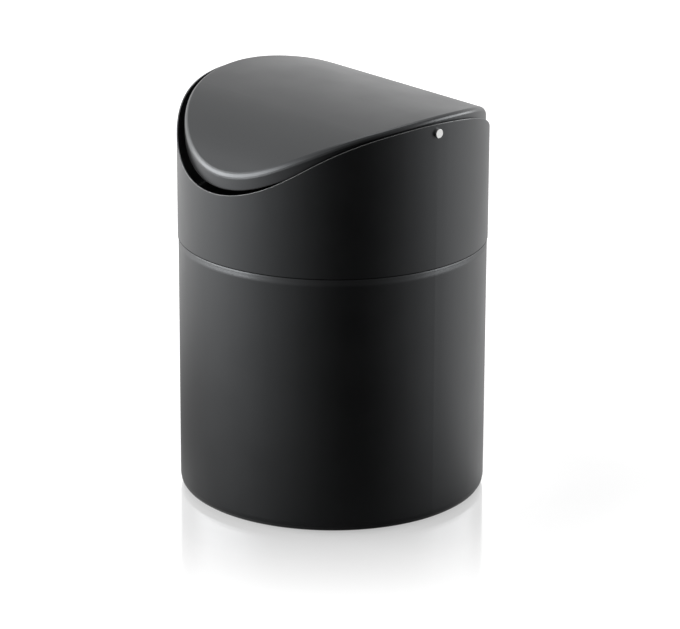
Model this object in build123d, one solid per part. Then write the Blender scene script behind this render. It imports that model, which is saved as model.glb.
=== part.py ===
"""Countertop trash can: a drawn steel canister, a lift-off collar and a swing lid.

Millimetres. The origin is the centre of the footprint on the worktop and +Z is up.
The lid's pivot axis runs along X; the collar's rim dips towards -Y (front) and +Y (back).
"""
import os
from math import acos, asin, atan2, cos, degrees, radians, sin, sqrt, tan

from build123d import *

os.makedirs("parts", exist_ok=True)

# ---- Driving sizes --------------------------------------------------------
body_radius = 60.0          # outside of the canister's straight wall
seam_height = 102.0         # underside of the collar above the worktop
pivot_rise = 53.1           # pivot axis above that seam

# ---- Canister -------------------------------------------------------------
body_sheet = 0.6            # steel with its coating
base_edge_radius = 3.6      # rounded bottom edge, outside
foot_width = 4.0            # flat annulus between the bottom edge and the recess
panel_rise = 1.8            # how far the bottom panel is pushed up
panel_slope_run = 2.0       # width of the sloping step up to the panel
shoulder_radius = 6.0       # rounded shoulder under the seam
neck_height = 12.0          # neck above the seam, inside the collar
hem_depth = 3.0             # height of the mouth edge folded flat inwards

# ---- Anti-slip base ring --------------------------------------------------
ring_side_gap = 1.1         # ring to the foot of the sloping step
ring_width = 9.0
ring_proud = 0.4            # how far the ring stands below the steel

# ---- Collar ---------------------------------------------------------------
collar_overhang = 0.3       # collar's outside beyond the canister's wall
collar_sheet = 0.5
collar_bevel = 0.15         # eased outer corner of its lower edge
neck_gap = 0.35             # slip clearance round the neck
seat_gap = 0.5              # collar's inner lower corner above the shoulder

# ---- Saddle of the rim and arch of the lid, seen along the pivot ----------
crown_half = 26.0           # half width of the shallow arcs over the pins
rim_rise = 3.5              # top of the rim above the pivot axis
rim_crown_radius = 100.0
rim_shoulder_radius = 50.0  # tighter arc that turns down to the dips
rim_flank_angle = 46.5      # straight flank down to the front and back dips
lid_rise = 5.7              # top of the lid above the pivot axis
lid_crown_radius = 123.0
lid_shoulder_radius = 57.0
lid_flank_angle = 44.2

# ---- Swing lid ------------------------------------------------------------
lid_gap = 1.8               # skirt to collar with the lid centred
lid_sheet = 0.6
lid_edge_radius = 1.8       # rounded edge between arch and skirt, outside
lid_rest_swing = 1.8        # degrees that the lid hangs off level at rest, front down
lid_inner_bevel = 0.9       # the same edge inside
skirt_depth = 5.9           # skirt's lower edge below the arch
ear_radius = 4.6            # rounded ears of the skirt round the pins

# ---- Pivot hardware -------------------------------------------------------
pin_radius = 1.2
pin_head_radius = 1.75
pin_head_height = 1.1
pin_head_bevel = 0.15
pin_end_bevel = 0.3
pin_tail = 1.0              # pin beyond its clip
pin_hole_gap = 0.02         # pin in the collar's wall, radial
running_gap = 0.05          # bush on the pin, radial
bush_radius = 2.1           # barrel through the ear
bush_fit_gap = 0.02         # barrel in the ear's hole, radial
bush_flange_radius = 3.4    # flange between ear and collar
bush_flange_thickness = 0.4
bush_proud = 0.3            # barrel beyond the ear's inner face
flange_wall_gap = 0.3       # flange to the collar's wall where the lid rests
clip_radius = 2.9
clip_sheet = 0.4
clip_grip_gap = 0.01        # clip's teeth round the pin, radial
clip_slots = 4
clip_slot_width = 0.5
clip_slot_reach = 2.1       # radius the slots cut out to
clip_play = 0.3             # least gap between a clip and its bush

# ---- Construction ---------------------------------------------------------
saddle_steps = 24           # points on each closed rim curve
bend_steps = 4              # straight steps round each bend of the canister
cut_margin = 8.0            # cutters overshoot the sheet by this much

# ---- Places that follow ---------------------------------------------------
pivot_height = seam_height + pivot_rise
panel_height = ring_proud + panel_rise
foot_radius = body_radius - base_edge_radius - foot_width
panel_radius = foot_radius - panel_slope_run
collar_radius = body_radius + collar_overhang
collar_bore = collar_radius - collar_sheet
neck_radius = collar_bore - neck_gap
lid_radius = collar_bore - lid_gap
rim_top = pivot_height + rim_rise
lid_top = pivot_height + lid_rise
flange_face = sqrt(collar_bore**2 - bush_flange_radius**2) - flange_wall_gap
lid_side_set = flange_face - bush_flange_thickness - lid_radius  # lid pushed towards +X
clip_face = lid_radius - lid_sheet - bush_proud - lid_side_set - clip_play

SIDES = {"right": 1, "left": -1}


def arch_drop(y, crown_radius, shoulder_radius, flank_angle):
    """Drop below the crown at distance y from the pivot plane: arc, tighter arc, straight."""
    y = abs(y)
    crown_turn = asin(crown_half / crown_radius)
    crown_drop = crown_radius * (1 - cos(crown_turn))
    if y <= crown_half:
        return crown_radius - sqrt(crown_radius**2 - y**2)
    flank_turn = radians(flank_angle)
    flank_start = crown_half + shoulder_radius * (sin(flank_turn) - sin(crown_turn))
    if y <= flank_start:
        turn = asin(sin(crown_turn) + (y - crown_half) / shoulder_radius)
        return crown_drop + shoulder_radius * (cos(crown_turn) - cos(turn))
    flank_drop = crown_drop + shoulder_radius * (cos(crown_turn) - cos(flank_turn))
    return flank_drop + (y - flank_start) * tan(flank_turn)


def along_x(radius, x_start, x_end):
    """Cylinder on the pivot axis between two X positions."""
    plane = Plane(origin=(x_start, 0, pivot_height), z_dir=(1, 0, 0))
    return plane * Cylinder(radius, x_end - x_start, align=(Align.CENTER, Align.CENTER, Align.MIN))


def on_side(shape, side):
    """The shape as made for +X, or its mirror image at -X."""
    return shape if side > 0 else mirror(shape, about=Plane.YZ)


def bend(centre, radius, start, turn):
    """Points round a bend of the canister's profile, in straight steps; angles in degrees."""
    points = []
    for step in range(bend_steps + 1):
        angle = radians(start + turn * step / bend_steps)
        points.append((centre[0] + radius * cos(angle), centre[1] + radius * sin(angle)))
    return points


def canister():
    """Drawn can: recessed panel, rounded bottom edge, wall, shoulder, neck and folded mouth."""
    edge_centre = (body_radius - base_edge_radius, ring_proud + base_edge_radius)
    neck_turn = acos(1 - (body_radius - neck_radius) / shoulder_radius)
    seat_turn = acos(1 - (body_radius - collar_bore) / shoulder_radius)
    shoulder_start = seam_height - seat_gap - shoulder_radius * sin(seat_turn)
    shoulder_centre = (body_radius - shoulder_radius, shoulder_start)
    shoulder_end = shoulder_start + shoulder_radius * sin(neck_turn)
    mouth_height = seam_height + neck_height
    hem_radius = neck_radius - 2 * body_sheet
    panel_lean = body_sheet * tan(atan2(panel_rise, panel_slope_run) / 2)
    outline = [(0, panel_height), (panel_radius, panel_height), (foot_radius, ring_proud)]
    outline += bend(edge_centre, base_edge_radius, -90, 90)
    outline += bend(shoulder_centre, shoulder_radius, 0, degrees(neck_turn))
    outline += [
        (neck_radius, mouth_height),
        (hem_radius, mouth_height),
        (hem_radius, mouth_height - hem_depth),
        (neck_radius - body_sheet, mouth_height - hem_depth),
        (neck_radius - body_sheet, shoulder_end),
        (body_radius - body_sheet, shoulder_start),
    ]
    outline += bend(edge_centre, base_edge_radius - body_sheet, 0, -90)
    outline += [
        (foot_radius + panel_lean, ring_proud + body_sheet),
        (panel_radius + panel_lean, panel_height + body_sheet),
        (0, panel_height + body_sheet),
    ]
    with BuildPart() as can:
        with BuildSketch(Plane.XZ):
            with BuildLine():
                Polyline(*outline, close=True)
            make_face()
        revolve(axis=Axis.Z)
    return can.part


def base_ring():
    """Flat soft ring glued into the recess under the canister."""
    ring_radius = panel_radius - ring_side_gap
    with BuildPart() as ring:
        with BuildSketch():
            Circle(ring_radius)
            Circle(ring_radius - ring_width, mode=Mode.SUBTRACT)
        extrude(amount=panel_height)
    return ring.part


def rim_curve(radius):
    """Closed saddle curve on a cylinder, as high at each angle as the collar's rim is."""
    points = []
    for step in range(saddle_steps):
        angle = radians(360 * step / saddle_steps)
        drop = arch_drop(collar_radius * sin(angle), rim_crown_radius, rim_shoulder_radius, rim_flank_angle)
        points.append((radius * cos(angle), radius * sin(angle), rim_top - drop))
    return Edge.make_spline(points, periodic=True)


def collar():
    """Upper ring with a saddle-shaped rim cut square to its sheet, and two pin holes."""
    blank_top = rim_top + cut_margin
    with BuildPart() as ring:
        with BuildSketch(Plane.XZ):
            with Locations((collar_bore, seam_height)):
                Rectangle(collar_sheet, blank_top - seam_height, align=(Align.MIN, Align.MIN))
        revolve(axis=Axis.Z)
    inner_curve = rim_curve(collar_bore - cut_margin)
    outer_curve = rim_curve(collar_radius + cut_margin)
    saddle = Face.make_surface_from_curves(inner_curve, outer_curve)
    part = ring.part - Solid.extrude(saddle, Vector(0, 0, blank_top))
    outer_face = part.faces().filter_by(GeomType.CYLINDER).sort_by(SortBy.AREA)[-1]
    part = chamfer(outer_face.edges().filter_by(GeomType.CIRCLE), collar_bevel)
    reach = collar_radius + cut_margin
    return part - along_x(pin_radius + pin_hole_gap, -reach, reach)


def arch_outline(crown_height, floor_height):
    """Region under the lid's arch, seen along the pivot."""
    crown_turn = degrees(asin(crown_half / lid_crown_radius))
    reach = lid_radius + cut_margin
    with BuildSketch(Plane.YZ) as outline:
        with BuildLine():
            crown = JernArc((0, crown_height), (1, 0), lid_crown_radius, -crown_turn)
            shoulder = JernArc(crown @ 1, crown % 1, lid_shoulder_radius, crown_turn - lid_flank_angle)
            flank_drop = (reach - (shoulder @ 1).X) * tan(radians(lid_flank_angle))
            Polyline(
                shoulder @ 1,
                (reach, (shoulder @ 1).Y - flank_drop),
                (reach, floor_height),
                (0, floor_height),
            )
            mirror(about=Plane.YZ)
        make_face()
    return outline.sketch


def arched_drum(outline, radius):
    """Upright cylinder under an arched outline."""
    reach = lid_radius + cut_margin
    return extrude(outline, amount=reach, both=True) & Cylinder(radius, 2 * lid_top)


def upper_edges(drum):
    """Curved edges round an arched drum, without the straight lines between its faces."""
    return drum.edges().filter_by(GeomType.LINE, reverse=True).sort_by(Axis.Z)[1:]


def rounded(drum, radius):
    """Rounds a drum's upper edge in three narrow flats that touch an arc of this radius."""
    middle_flat = chamfer(upper_edges(drum), radius * (tan(radians(45)) - tan(radians(22.5))))
    return chamfer(upper_edges(middle_flat), radius * (tan(radians(22.5)) - tan(radians(11.25))))


def swing_lid():
    """Arched cover with a rounded edge, a skirt that follows the arch, and two pin ears."""
    reach = lid_radius + cut_margin
    lid_drop = arch_drop(lid_radius, lid_crown_radius, lid_shoulder_radius, lid_flank_angle)
    floor_height = lid_top - lid_drop - skirt_depth - cut_margin
    outline = arch_outline(lid_top, floor_height)
    hollow = arched_drum(offset(outline, -lid_sheet), lid_radius - lid_sheet)
    shell = rounded(arched_drum(outline, lid_radius), lid_edge_radius)
    shell -= chamfer(upper_edges(hollow), lid_inner_bevel)
    below_skirt = arch_outline(lid_top - skirt_depth, floor_height - cut_margin)
    below_skirt -= Plane.YZ * Pos(0, pivot_height) * Circle(ear_radius)
    shell -= extrude(below_skirt, amount=reach, both=True)
    shell -= along_x(bush_radius + bush_fit_gap, -reach, reach)
    at_rest = Pos(lid_side_set, 0, pivot_height) * Rot(lid_rest_swing, 0, 0)
    return at_rest * Pos(0, 0, -pivot_height) * shell


def lid_bush(side):
    """Flanged nylon bush: barrel through the ear, flange between the ear and the collar."""
    barrel_end = lid_radius - lid_sheet - bush_proud
    bush = along_x(bush_radius, barrel_end, lid_radius)
    bush += along_x(bush_flange_radius, lid_radius, lid_radius + bush_flange_thickness)
    bush -= along_x(pin_radius + running_gap, 0, lid_radius + cut_margin)
    return Pos(lid_side_set, 0, 0) * on_side(bush, side)


def pivot_pin(side):
    """Pin with a low bevelled head outside the collar."""
    head_end = collar_radius + pin_head_height
    head = along_x(pin_head_radius, collar_radius, head_end)
    head = chamfer(head.edges().sort_by(Axis.X)[-1], pin_head_bevel)
    shank = along_x(pin_radius, clip_face - clip_sheet - pin_tail, collar_radius)
    shank = chamfer(shank.edges().sort_by(Axis.X)[0], pin_end_bevel)
    return on_side(head + shank, side)


def pin_clip(side):
    """Push-on retaining ring, with slots that make its teeth."""
    clip = along_x(clip_radius, clip_face - clip_sheet, clip_face)
    clip -= along_x(pin_radius + clip_grip_gap, 0, clip_face + cut_margin)
    slot = Box(cut_margin, clip_slot_width, clip_slot_reach, align=(Align.CENTER, Align.CENTER, Align.MIN))
    for index in range(clip_slots):
        turn = 360 * (index + 0.5) / clip_slots
        clip -= Pos(clip_face, 0, pivot_height) * Rot(turn, 0, 0) * slot
    return on_side(clip, side)


def main():
    export_step(canister(), "parts/canister.step")
    export_step(base_ring(), "parts/base_ring.step")
    export_step(collar(), "parts/collar.step")
    export_step(swing_lid(), "parts/swing_lid.step")
    for name, side in SIDES.items():
        export_step(pivot_pin(side), f"parts/pivot_pin_{name}.step")
        export_step(lid_bush(side), f"parts/lid_bush_{name}.step")
        export_step(pin_clip(side), f"parts/pin_clip_{name}.step")


main()
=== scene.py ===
import math

import bpy
from mathutils import Matrix, Vector

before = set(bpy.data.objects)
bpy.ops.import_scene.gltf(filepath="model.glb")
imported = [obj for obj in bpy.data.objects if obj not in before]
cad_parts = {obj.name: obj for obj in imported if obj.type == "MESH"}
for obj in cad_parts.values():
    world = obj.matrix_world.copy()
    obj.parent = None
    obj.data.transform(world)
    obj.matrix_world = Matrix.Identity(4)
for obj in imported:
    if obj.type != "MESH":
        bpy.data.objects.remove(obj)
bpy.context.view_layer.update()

# Everything is in metres, in the part's own frame: +Z up, the pivot along X, the front dip at -Y.
# An azimuth is counted from -Y towards +X. Distances on the table are from the can's axis.

# ---- Camera ---------------------------------------------------------------
IMAGE_WIDTH = 680                                    # pixels across, which FOCAL_PIXELS belongs to
FOCAL_PIXELS = 3492.7
SENSOR_WIDTH = 36.0                                  # mm
CAMERA_AZIMUTH = math.radians(49.8)
CAMERA_DISTANCE = 1.300                              # level distance from the can's axis
CAMERA_HEIGHT = 0.5008
CAMERA_PITCH = math.radians(18.39)                   # downwards
CAMERA_YAW = math.radians(0.13)                      # to the right of the can's axis
CAMERA_ROLL = math.radians(0.25)                     # its right side up

# ---- The room that glossy surfaces mirror ---------------------------------
DARK_HEADING = CAMERA_AZIMUTH + math.radians(14.0)   # the middle of its dark side
LEFT_HEADING = CAMERA_AZIMUTH - math.radians(90.0)
GLOW_SPREAD = 1.5                                    # how fast it brightens away from there
BACK_GLOW = 0.9                                      # its back wall
SIDE_GLOW = 0.6                                      # what both side walls add to that
LEFT_GLOW = 0.27                                     # what the left adds and the right takes away
HORIZON_GLOW, ZENITH_GLOW = 1.45, 0.6                # its walls against its ceiling
FILL_STRENGTH = 0.2                                  # what it adds to matt surfaces

# ---- Table ----------------------------------------------------------------
TABLE_HALF = 3.0                                     # half of its width
TABLE_COLOUR = (0.7, 0.7, 0.7, 1.0)
SHEEN_MOST = 0.5                                     # share of mirror in it at the can's foot
SHEEN_ROUGHNESS = 0.09
SHEEN_NEAR, SHEEN_FAR = 0.057, 0.16                  # the distances over which that share fades
WHITE_FROM, WHITE_TO = 0.07, 0.22                    # distances over which it rises to white on camera
WHITE_NEAR, WHITE_FAR = 0.46, 0.80                   # what is added for that at each of them
FADE_FROM, FADE_TO = 0.5, 1.8                        # distances over which the lamps' light runs out
FADE_NEAR, FADE_FAR = 0.36, 1.0                      # what is added for that at each of them
SHADE_CENTRE = (-0.102, -0.044, 0.0)                 # the middle of the can's shade, as mirrored
SHADE_WIDTH = 0.32                                   # how far from there that shade reaches
SHADE_LEAST, SHADE_MOST = 0.15, 0.93                 # share of the room's glow inside it and beyond
SHADE_GLOW = 0.12                                    # even light left inside it

# ---- Powder coat ----------------------------------------------------------
COAT_DARK = (0.0040, 0.0040, 0.0042, 1.0)
COAT_LIGHT = (0.0056, 0.0056, 0.0058, 1.0)
COAT_ROUGHNESS = (0.33, 0.37)
COAT_IOR = 1.6
COAT_TINT = (0.93, 0.965, 1.0, 1.0)                  # it mirrors a little cooler than the room is
PEEL_STRENGTH, PEEL_DEPTH = 0.06, 0.00015            # relief of its orange peel
EDGE_ROUNDING = 0.0004                               # radius that it gives a cut edge
EDGE_HIGHLIGHT_GREY = (0.28, 0.28, 0.28, 1.0)                  # painted highlight: light grey steel on the edges, for the light their rounding catches
EDGE_FROM, EDGE_FULL = 0.98, 0.80                    # how an edge is told: face against rounded normal
RIM_FROM, RIM_TO = 0.104, 0.105                      # heights above which edges get the painted highlight
HEM_FROM, HEM_TO = 0.1022, 0.1026                    # the collar's lower edge, where a painted shade darkens the seam
SEAM_SHADE_BLACK = (0.004, 0.004, 0.004, 1.0)
SEAM_SHADE_SHARE = 0.9                                   # share of the coat replaced there by matt black, as painted shade
SHOULDER_FROM, SHOULDER_TO = 0.0990, 0.1010          # heights over which the canister starts to turn in
SHOULDER_DEPTH = 0.00024                             # how far it turns in over them

# ---- Shading of the CAD meshes --------------------------------------------
SHARP_ANGLE = math.radians(35.0)                     # bends sharper than this stay edges
FACE_AREA_WEIGHT = 50                                # wide faces set the normals round a bend

# ---- Lamps ----------------------------------------------------------------
# Azimuth from the camera's, positive to the right, and elevation, in degrees;
# distance from LAMP_TARGET; width and height; watts.
LAMPS = {
    "left_softbox": (-88, 14, 1.5, (1.5, 0.5), 20),
    "right_softbox": (100, 14, 1.5, (1.5, 0.5), 12),
    "top_softbox": (180, 76, 1.6, (1.4, 0.8), 7.5),
}
LAMP_TARGET = (0, 0, 0.09)


def heading_vector(azimuth):
    """Level unit vector from the can's axis towards an azimuth."""
    return Vector((math.sin(azimuth), -math.cos(azimuth), 0.0))


def add_camera():
    """The camera at the photograph's viewing angle, looking a little down."""
    outwards = heading_vector(CAMERA_AZIMUTH)
    place = outwards * CAMERA_DISTANCE + Vector((0, 0, CAMERA_HEIGHT))
    level = -outwards
    level.rotate(Matrix.Rotation(-CAMERA_YAW, 3, "Z"))
    forward = level * math.cos(CAMERA_PITCH) + Vector((0, 0, -math.sin(CAMERA_PITCH)))
    right = Vector((level.y, -level.x, 0.0)).normalized()
    up = right.cross(forward)
    rolled_right = right * math.cos(CAMERA_ROLL) + up * math.sin(CAMERA_ROLL)
    rolled_up = up * math.cos(CAMERA_ROLL) - right * math.sin(CAMERA_ROLL)
    data = bpy.data.cameras.new("camera")
    data.sensor_width = SENSOR_WIDTH
    data.lens = FOCAL_PIXELS * SENSOR_WIDTH / IMAGE_WIDTH
    camera = bpy.data.objects.new("camera", data)
    axes = Matrix((rolled_right, rolled_up, -forward)).transposed()
    camera.matrix_world = Matrix.Translation(place) @ axes.to_4x4()
    bpy.context.collection.objects.link(camera)
    bpy.context.scene.camera = camera


# ---- Node trees -----------------------------------------------------------
class Nodes:
    """Short calls for building a node tree. Each but add() returns the socket of its result."""

    def __init__(self, tree):
        self.tree = tree
        tree.nodes.clear()

    def add(self, kind, inputs=None, **settings):
        """A node; each of its inputs is linked to a socket or set to a value."""
        node = self.tree.nodes.new(kind)
        for name, value in settings.items():
            setattr(node, name, value)
        for name, value in (inputs or {}).items():
            if isinstance(value, bpy.types.NodeSocket):
                self.tree.links.new(value, node.inputs[name])
            else:
                node.inputs[name].default_value = value
        return node

    def math(self, operation, first, second=0.0):
        return self.add("ShaderNodeMath", {0: first, 1: second}, operation=operation).outputs[0]

    def vector_math(self, operation, first, second=(0.0, 0.0, 0.0)):
        """The single number that a vector operation gives."""
        node = self.add("ShaderNodeVectorMath", {0: first, 1: second}, operation=operation)
        return node.outputs["Value"]

    def ramp(self, value, low, high, to_low=0.0, to_high=1.0, shape="SMOOTHSTEP"):
        """Takes low..high to to_low..to_high, and holds the ends beyond them."""
        inputs = {"Value": value, "From Min": low, "From Max": high, "To Min": to_low, "To Max": to_high}
        return self.add("ShaderNodeMapRange", inputs, interpolation_type=shape).outputs["Result"]

    def noise(self, point, scale, detail, roughness=0.5):
        inputs = {"Vector": point, "Scale": scale, "Detail": detail, "Roughness": roughness}
        return self.add("ShaderNodeTexNoise", inputs).outputs["Fac"]

    def bump(self, height, strength, distance, normal=None):
        inputs = {"Height": height, "Strength": strength, "Distance": distance}
        if normal:
            inputs["Normal"] = normal
        return self.add("ShaderNodeBump", inputs).outputs["Normal"]

    def mix(self, kind, share, first, second):
        """Between two numbers (kind FLOAT) or two colours (kind RGBA)."""
        inputs = {"Factor": share, "A": first, "B": second}
        return self.add("ShaderNodeMix", inputs, data_type=kind).outputs["Result"]

    def mix_shaders(self, share, first, second):
        return self.add("ShaderNodeMixShader", {0: share, 1: first, 2: second}).outputs[0]


def new_material(name):
    material = bpy.data.materials.new(name)
    material.use_nodes = True
    return material, Nodes(material.node_tree)


def object_point(nodes):
    return nodes.add("ShaderNodeTexCoord").outputs["Object"]


# ---- Materials ------------------------------------------------------------
def painted_edge_highlight(nodes, rounded_normal, height):
    """One on the rim's and the lid's edges, where a painted highlight lightens them, and zero elsewhere."""
    face_normal = nodes.add("ShaderNodeNewGeometry").outputs["Normal"]
    along = nodes.vector_math("DOT_PRODUCT", rounded_normal, face_normal)
    on_edge = nodes.ramp(along, EDGE_FROM, EDGE_FULL)
    return nodes.math("MULTIPLY", on_edge, nodes.ramp(height, RIM_FROM, RIM_TO))


def powder_coat(name, edge_highlight=False, painted_seam_shade=False, shoulder=False):
    """Satin black powder coat: fine orange peel, faint mottling and rounded edges.

    Its edges may get a painted highlight in light metallic grey, its lower edge a painted
    shade in matt black, and it may draw in towards the canister's shoulder.
    """
    material, nodes = new_material(name)
    point = object_point(nodes)
    height = nodes.add("ShaderNodeSeparateXYZ", {0: point}).outputs["Z"]
    rounded = nodes.add("ShaderNodeBevel", {"Radius": EDGE_ROUNDING}, samples=6).outputs["Normal"]
    normal = rounded
    if shoulder:
        drawn_in = nodes.ramp(height, SHOULDER_FROM, SHOULDER_TO, 1.0, 0.0)
        normal = nodes.bump(drawn_in, 1.0, SHOULDER_DEPTH, normal)
    peel = nodes.noise(point, 1400.0, 3.0, roughness=0.55)
    ripple = nodes.noise(point, 260.0, 2.0)
    grain = nodes.math("ADD", nodes.math("MULTIPLY", peel, 0.6), ripple)
    normal = nodes.bump(grain, PEEL_STRENGTH, PEEL_DEPTH, normal)
    mottle = nodes.noise(point, 45.0, 4.0)
    colour = nodes.mix("RGBA", mottle, COAT_DARK, COAT_LIGHT)
    highlight_share = 0.0
    # Painted highlight: the rim's and lid's edges turn light grey and metallic, for the light their
    # rounding catches.
    if edge_highlight:
        highlight_share = painted_edge_highlight(nodes, rounded, height)
        colour = nodes.mix("RGBA", highlight_share, colour, EDGE_HIGHLIGHT_GREY)
    coat = nodes.add(
        "ShaderNodeBsdfPrincipled",
        {
            "Base Color": colour,
            "Metallic": highlight_share,
            "Roughness": nodes.ramp(mottle, 0.3, 0.7, *COAT_ROUGHNESS),
            "IOR": COAT_IOR,
            "Specular Tint": COAT_TINT,
            "Normal": normal,
        },
    ).outputs[0]
    # Painted shade: the collar's lowest edge is mixed towards matt black, for a dark line at the seam.
    if painted_seam_shade:
        seam_shade = nodes.ramp(height, HEM_FROM, HEM_TO, SEAM_SHADE_SHARE, 0.0)
        shade_black = nodes.add("ShaderNodeBsdfDiffuse", {"Color": SEAM_SHADE_BLACK}).outputs[0]
        coat = nodes.mix_shaders(seam_shade, coat, shade_black)
    nodes.add("ShaderNodeOutputMaterial", {"Surface": coat})
    return material


def pin_steel():
    """Bright turned steel with very fine tool marks."""
    material, nodes = new_material("pin_steel")
    marks = nodes.noise(object_point(nodes), 4000.0, 2.0)
    steel = nodes.add(
        "ShaderNodeBsdfPrincipled",
        {
            "Base Color": (0.86, 0.86, 0.85, 1.0),
            "Metallic": 1.0,
            "Roughness": nodes.ramp(marks, 0.3, 0.7, 0.18, 0.26),
            "Normal": nodes.bump(marks, 0.05, 0.00003),
        },
    )
    nodes.add("ShaderNodeOutputMaterial", {"Surface": steel.outputs[0]})
    return material


def plain_detail(name, dark, light, roughness, scale, metallic=0.0):
    """Moulded or stamped small part: fine grain in colour, gloss and relief."""
    material, nodes = new_material(name)
    grain = nodes.noise(object_point(nodes), scale, 4.0)
    surface = nodes.add(
        "ShaderNodeBsdfPrincipled",
        {
            "Base Color": nodes.mix("RGBA", grain, (*dark, 1.0), (*light, 1.0)),
            "Metallic": metallic,
            "Roughness": nodes.ramp(grain, 0.3, 0.7, roughness - 0.06, roughness + 0.06),
            "Normal": nodes.bump(grain, 0.2, 0.0001),
        },
    )
    nodes.add("ShaderNodeOutputMaterial", {"Surface": surface.outputs[0]})
    return material


def dress_nodes():
    """Gives each CAD node its material."""
    # The lid's coat carries the painted edge highlight.
    highlighted_coat = powder_coat("black_enamel", edge_highlight=True)
    steel = pin_steel()
    nylon = plain_detail("nylon", (0.02, 0.02, 0.021), (0.035, 0.035, 0.036), 0.5, 900.0)
    rubber = plain_detail("soft_ring", (0.012, 0.012, 0.012), (0.022, 0.022, 0.022), 0.8, 1200.0)
    spring = plain_detail("clip_steel", (0.36, 0.36, 0.37), (0.48, 0.48, 0.49), 0.32, 1500.0, metallic=1.0)
    node_materials = {
        "canister": powder_coat("canister_enamel", shoulder=True),
        # The collar's coat carries the painted edge highlight and the painted seam shade.
        "collar": powder_coat("collar_enamel", edge_highlight=True, painted_seam_shade=True),
        "swing_lid": highlighted_coat,
        "base_ring": rubber,
        "pivot_pin_left": steel,
        "pivot_pin_right": steel,
        "lid_bush_left": nylon,
        "lid_bush_right": nylon,
        "pin_clip_left": spring,
        "pin_clip_right": spring,
    }
    for node, material in node_materials.items():
        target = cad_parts[node]
        if not target.material_slots:
            target.data.materials.append(material)
        for slot in target.material_slots:
            slot.material = material


def smooth_shading(node):
    """Shades a CAD mesh smooth over its bends, with its wide faces flat and its edges sharp."""
    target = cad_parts[node]
    split = target.modifiers.new("sharp_edges", "EDGE_SPLIT")
    split.split_angle = SHARP_ANGLE
    weighted = target.modifiers.new("weighted_normals", "WEIGHTED_NORMAL")
    weighted.weight = FACE_AREA_WEIGHT
    weighted.keep_sharp = False


# ---- Studio ---------------------------------------------------------------
def ray_kinds(nodes):
    """One for rays that see the room (camera, mirror or glass), and one for camera rays alone."""
    path = nodes.add("ShaderNodeLightPath")
    to_camera = path.outputs["Is Camera Ray"]
    in_mirrors = nodes.math("MAXIMUM", path.outputs["Is Glossy Ray"], path.outputs["Is Transmission Ray"])
    return nodes.math("MAXIMUM", to_camera, in_mirrors), to_camera


def room_glow(nodes, direction):
    """How bright the room is in a direction: dark about DARK_HEADING, and bright around."""
    facing = nodes.vector_math("DOT_PRODUCT", direction, heading_vector(DARK_HEADING))
    leftness = nodes.vector_math("DOT_PRODUCT", direction, heading_vector(LEFT_HEADING))
    away = nodes.math("MULTIPLY", nodes.math("SUBTRACT", 1.0, facing), GLOW_SPREAD)
    sides = nodes.math("MULTIPLY", nodes.math("MULTIPLY", leftness, leftness), SIDE_GLOW)
    lean = nodes.math("MULTIPLY", leftness, LEFT_GLOW)
    walls = nodes.math("ADD", nodes.math("ADD", sides, lean), BACK_GLOW)
    return nodes.math("MINIMUM", away, walls)


def table_material():
    """White table: white to the camera, with the can's shadow and a mirror image that fades."""
    material, nodes = new_material("studio_floor")
    point = object_point(nodes)
    distance = nodes.vector_math("LENGTH", point)
    seen, to_camera = ray_kinds(nodes)

    closeness = nodes.ramp(distance, SHEEN_NEAR, SHEEN_FAR, 1.0, 0.0, shape="LINEAR")
    sheen = nodes.math("MULTIPLY", nodes.math("MULTIPLY", closeness, closeness), SHEEN_MOST)
    matt = nodes.add("ShaderNodeBsdfDiffuse", {"Color": TABLE_COLOUR}).outputs[0]
    gloss = nodes.add("ShaderNodeBsdfGlossy", {"Color": (1.0, 1.0, 1.0, 1.0), "Roughness": SHEEN_ROUGHNESS})
    top = nodes.mix_shaders(sheen, matt, gloss.outputs[0])

    near_white = nodes.ramp(distance, WHITE_FROM, WHITE_TO, WHITE_NEAR, WHITE_FAR)
    far_white = nodes.ramp(distance, FADE_FROM, FADE_TO, FADE_NEAR, FADE_FAR)
    added = nodes.math("MULTIPLY", to_camera, nodes.math("MAXIMUM", near_white, far_white))
    white = nodes.add("ShaderNodeEmission", {"Strength": added}).outputs[0]
    lit = nodes.add("ShaderNodeAddShader", {0: top, 1: white}).outputs[0]

    direction = nodes.add("ShaderNodeVectorMath", {0: point}, operation="NORMALIZE").outputs["Vector"]
    from_shade = nodes.vector_math("DISTANCE", point, SHADE_CENTRE)
    open_share = nodes.ramp(from_shade, 0.0, SHADE_WIDTH, SHADE_LEAST, SHADE_MOST)
    room = nodes.math("MULTIPLY", room_glow(nodes, direction), open_share)
    shade = nodes.math("MULTIPLY", nodes.math("SUBTRACT", 1.0, open_share), SHADE_GLOW)
    glow = nodes.add("ShaderNodeEmission", {"Strength": nodes.math("ADD", room, shade)}).outputs[0]

    in_mirrors = nodes.math("SUBTRACT", seen, to_camera)
    nodes.add("ShaderNodeOutputMaterial", {"Surface": nodes.mix_shaders(in_mirrors, lit, glow)})
    return material


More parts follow.
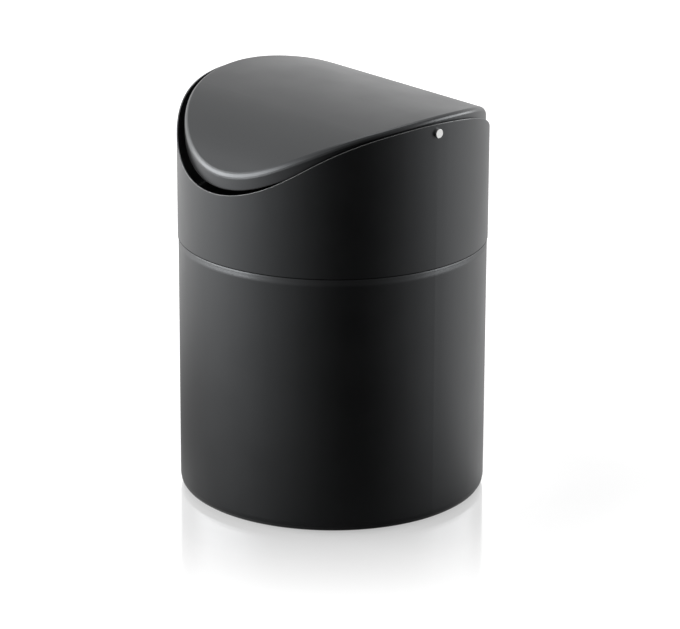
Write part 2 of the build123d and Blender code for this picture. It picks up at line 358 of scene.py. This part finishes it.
def add_floor():
    """The table's wide plain top, at the height the can stands on."""
    half = TABLE_HALF
    corners = [(-half, -half, 0), (half, -half, 0), (half, half, 0), (-half, half, 0)]
    mesh = bpy.data.meshes.new("studio_floor")
    mesh.from_pydata(corners, [], [(0, 1, 2, 3)])
    mesh.materials.append(table_material())
    floor = bpy.data.objects.new("studio_floor", mesh)
    bpy.context.collection.objects.link(floor)


def add_world():
    """White to the camera; to mirrors, a white room that is dark about DARK_HEADING."""
    world = bpy.data.worlds.new("studio")
    world.use_nodes = True
    nodes = Nodes(world.node_tree)
    direction = nodes.add("ShaderNodeTexCoord").outputs["Generated"]
    height = nodes.add("ShaderNodeSeparateXYZ", {0: direction}).outputs["Z"]
    seen, to_camera = ray_kinds(nodes)
    slope = nodes.ramp(height, 0.0, 1.0, HORIZON_GLOW, ZENITH_GLOW)
    room = nodes.math("MULTIPLY", room_glow(nodes, direction), slope)
    glow = nodes.math("MAXIMUM", room, to_camera)
    strength = nodes.mix("FLOAT", seen, FILL_STRENGTH, glow)
    background = nodes.add("ShaderNodeBackground", {"Color": (1.0, 1.0, 1.0, 1.0), "Strength": strength})
    nodes.add("ShaderNodeOutputWorld", {"Surface": background.outputs[0]})
    bpy.context.scene.world = world


def add_lamp(name, azimuth, elevation, distance, size, power):
    """A softbox that faces LAMP_TARGET and isn't seen itself."""
    lift = math.radians(elevation)
    level = heading_vector(CAMERA_AZIMUTH + math.radians(azimuth))
    direction = level * math.cos(lift) + Vector((0, 0, math.sin(lift)))
    data = bpy.data.lights.new(name, "AREA")
    data.shape = "RECTANGLE"
    data.size, data.size_y = size
    data.energy = power
    lamp = bpy.data.objects.new(name, data)
    lamp.location = Vector(LAMP_TARGET) + direction * distance
    lamp.rotation_euler = direction.to_track_quat("Z", "Y").to_euler()
    lamp.visible_camera = False
    bpy.context.collection.objects.link(lamp)


# ---- Put it together ------------------------------------------------------
add_camera()
dress_nodes()
for node in ("canister", "collar", "swing_lid", "pivot_pin_left", "pivot_pin_right"):
    smooth_shading(node)
add_floor()
add_world()
for name, setting in LAMPS.items():
    add_lamp(name, *setting)

bpy.context.scene.view_settings.view_transform = "Standard"
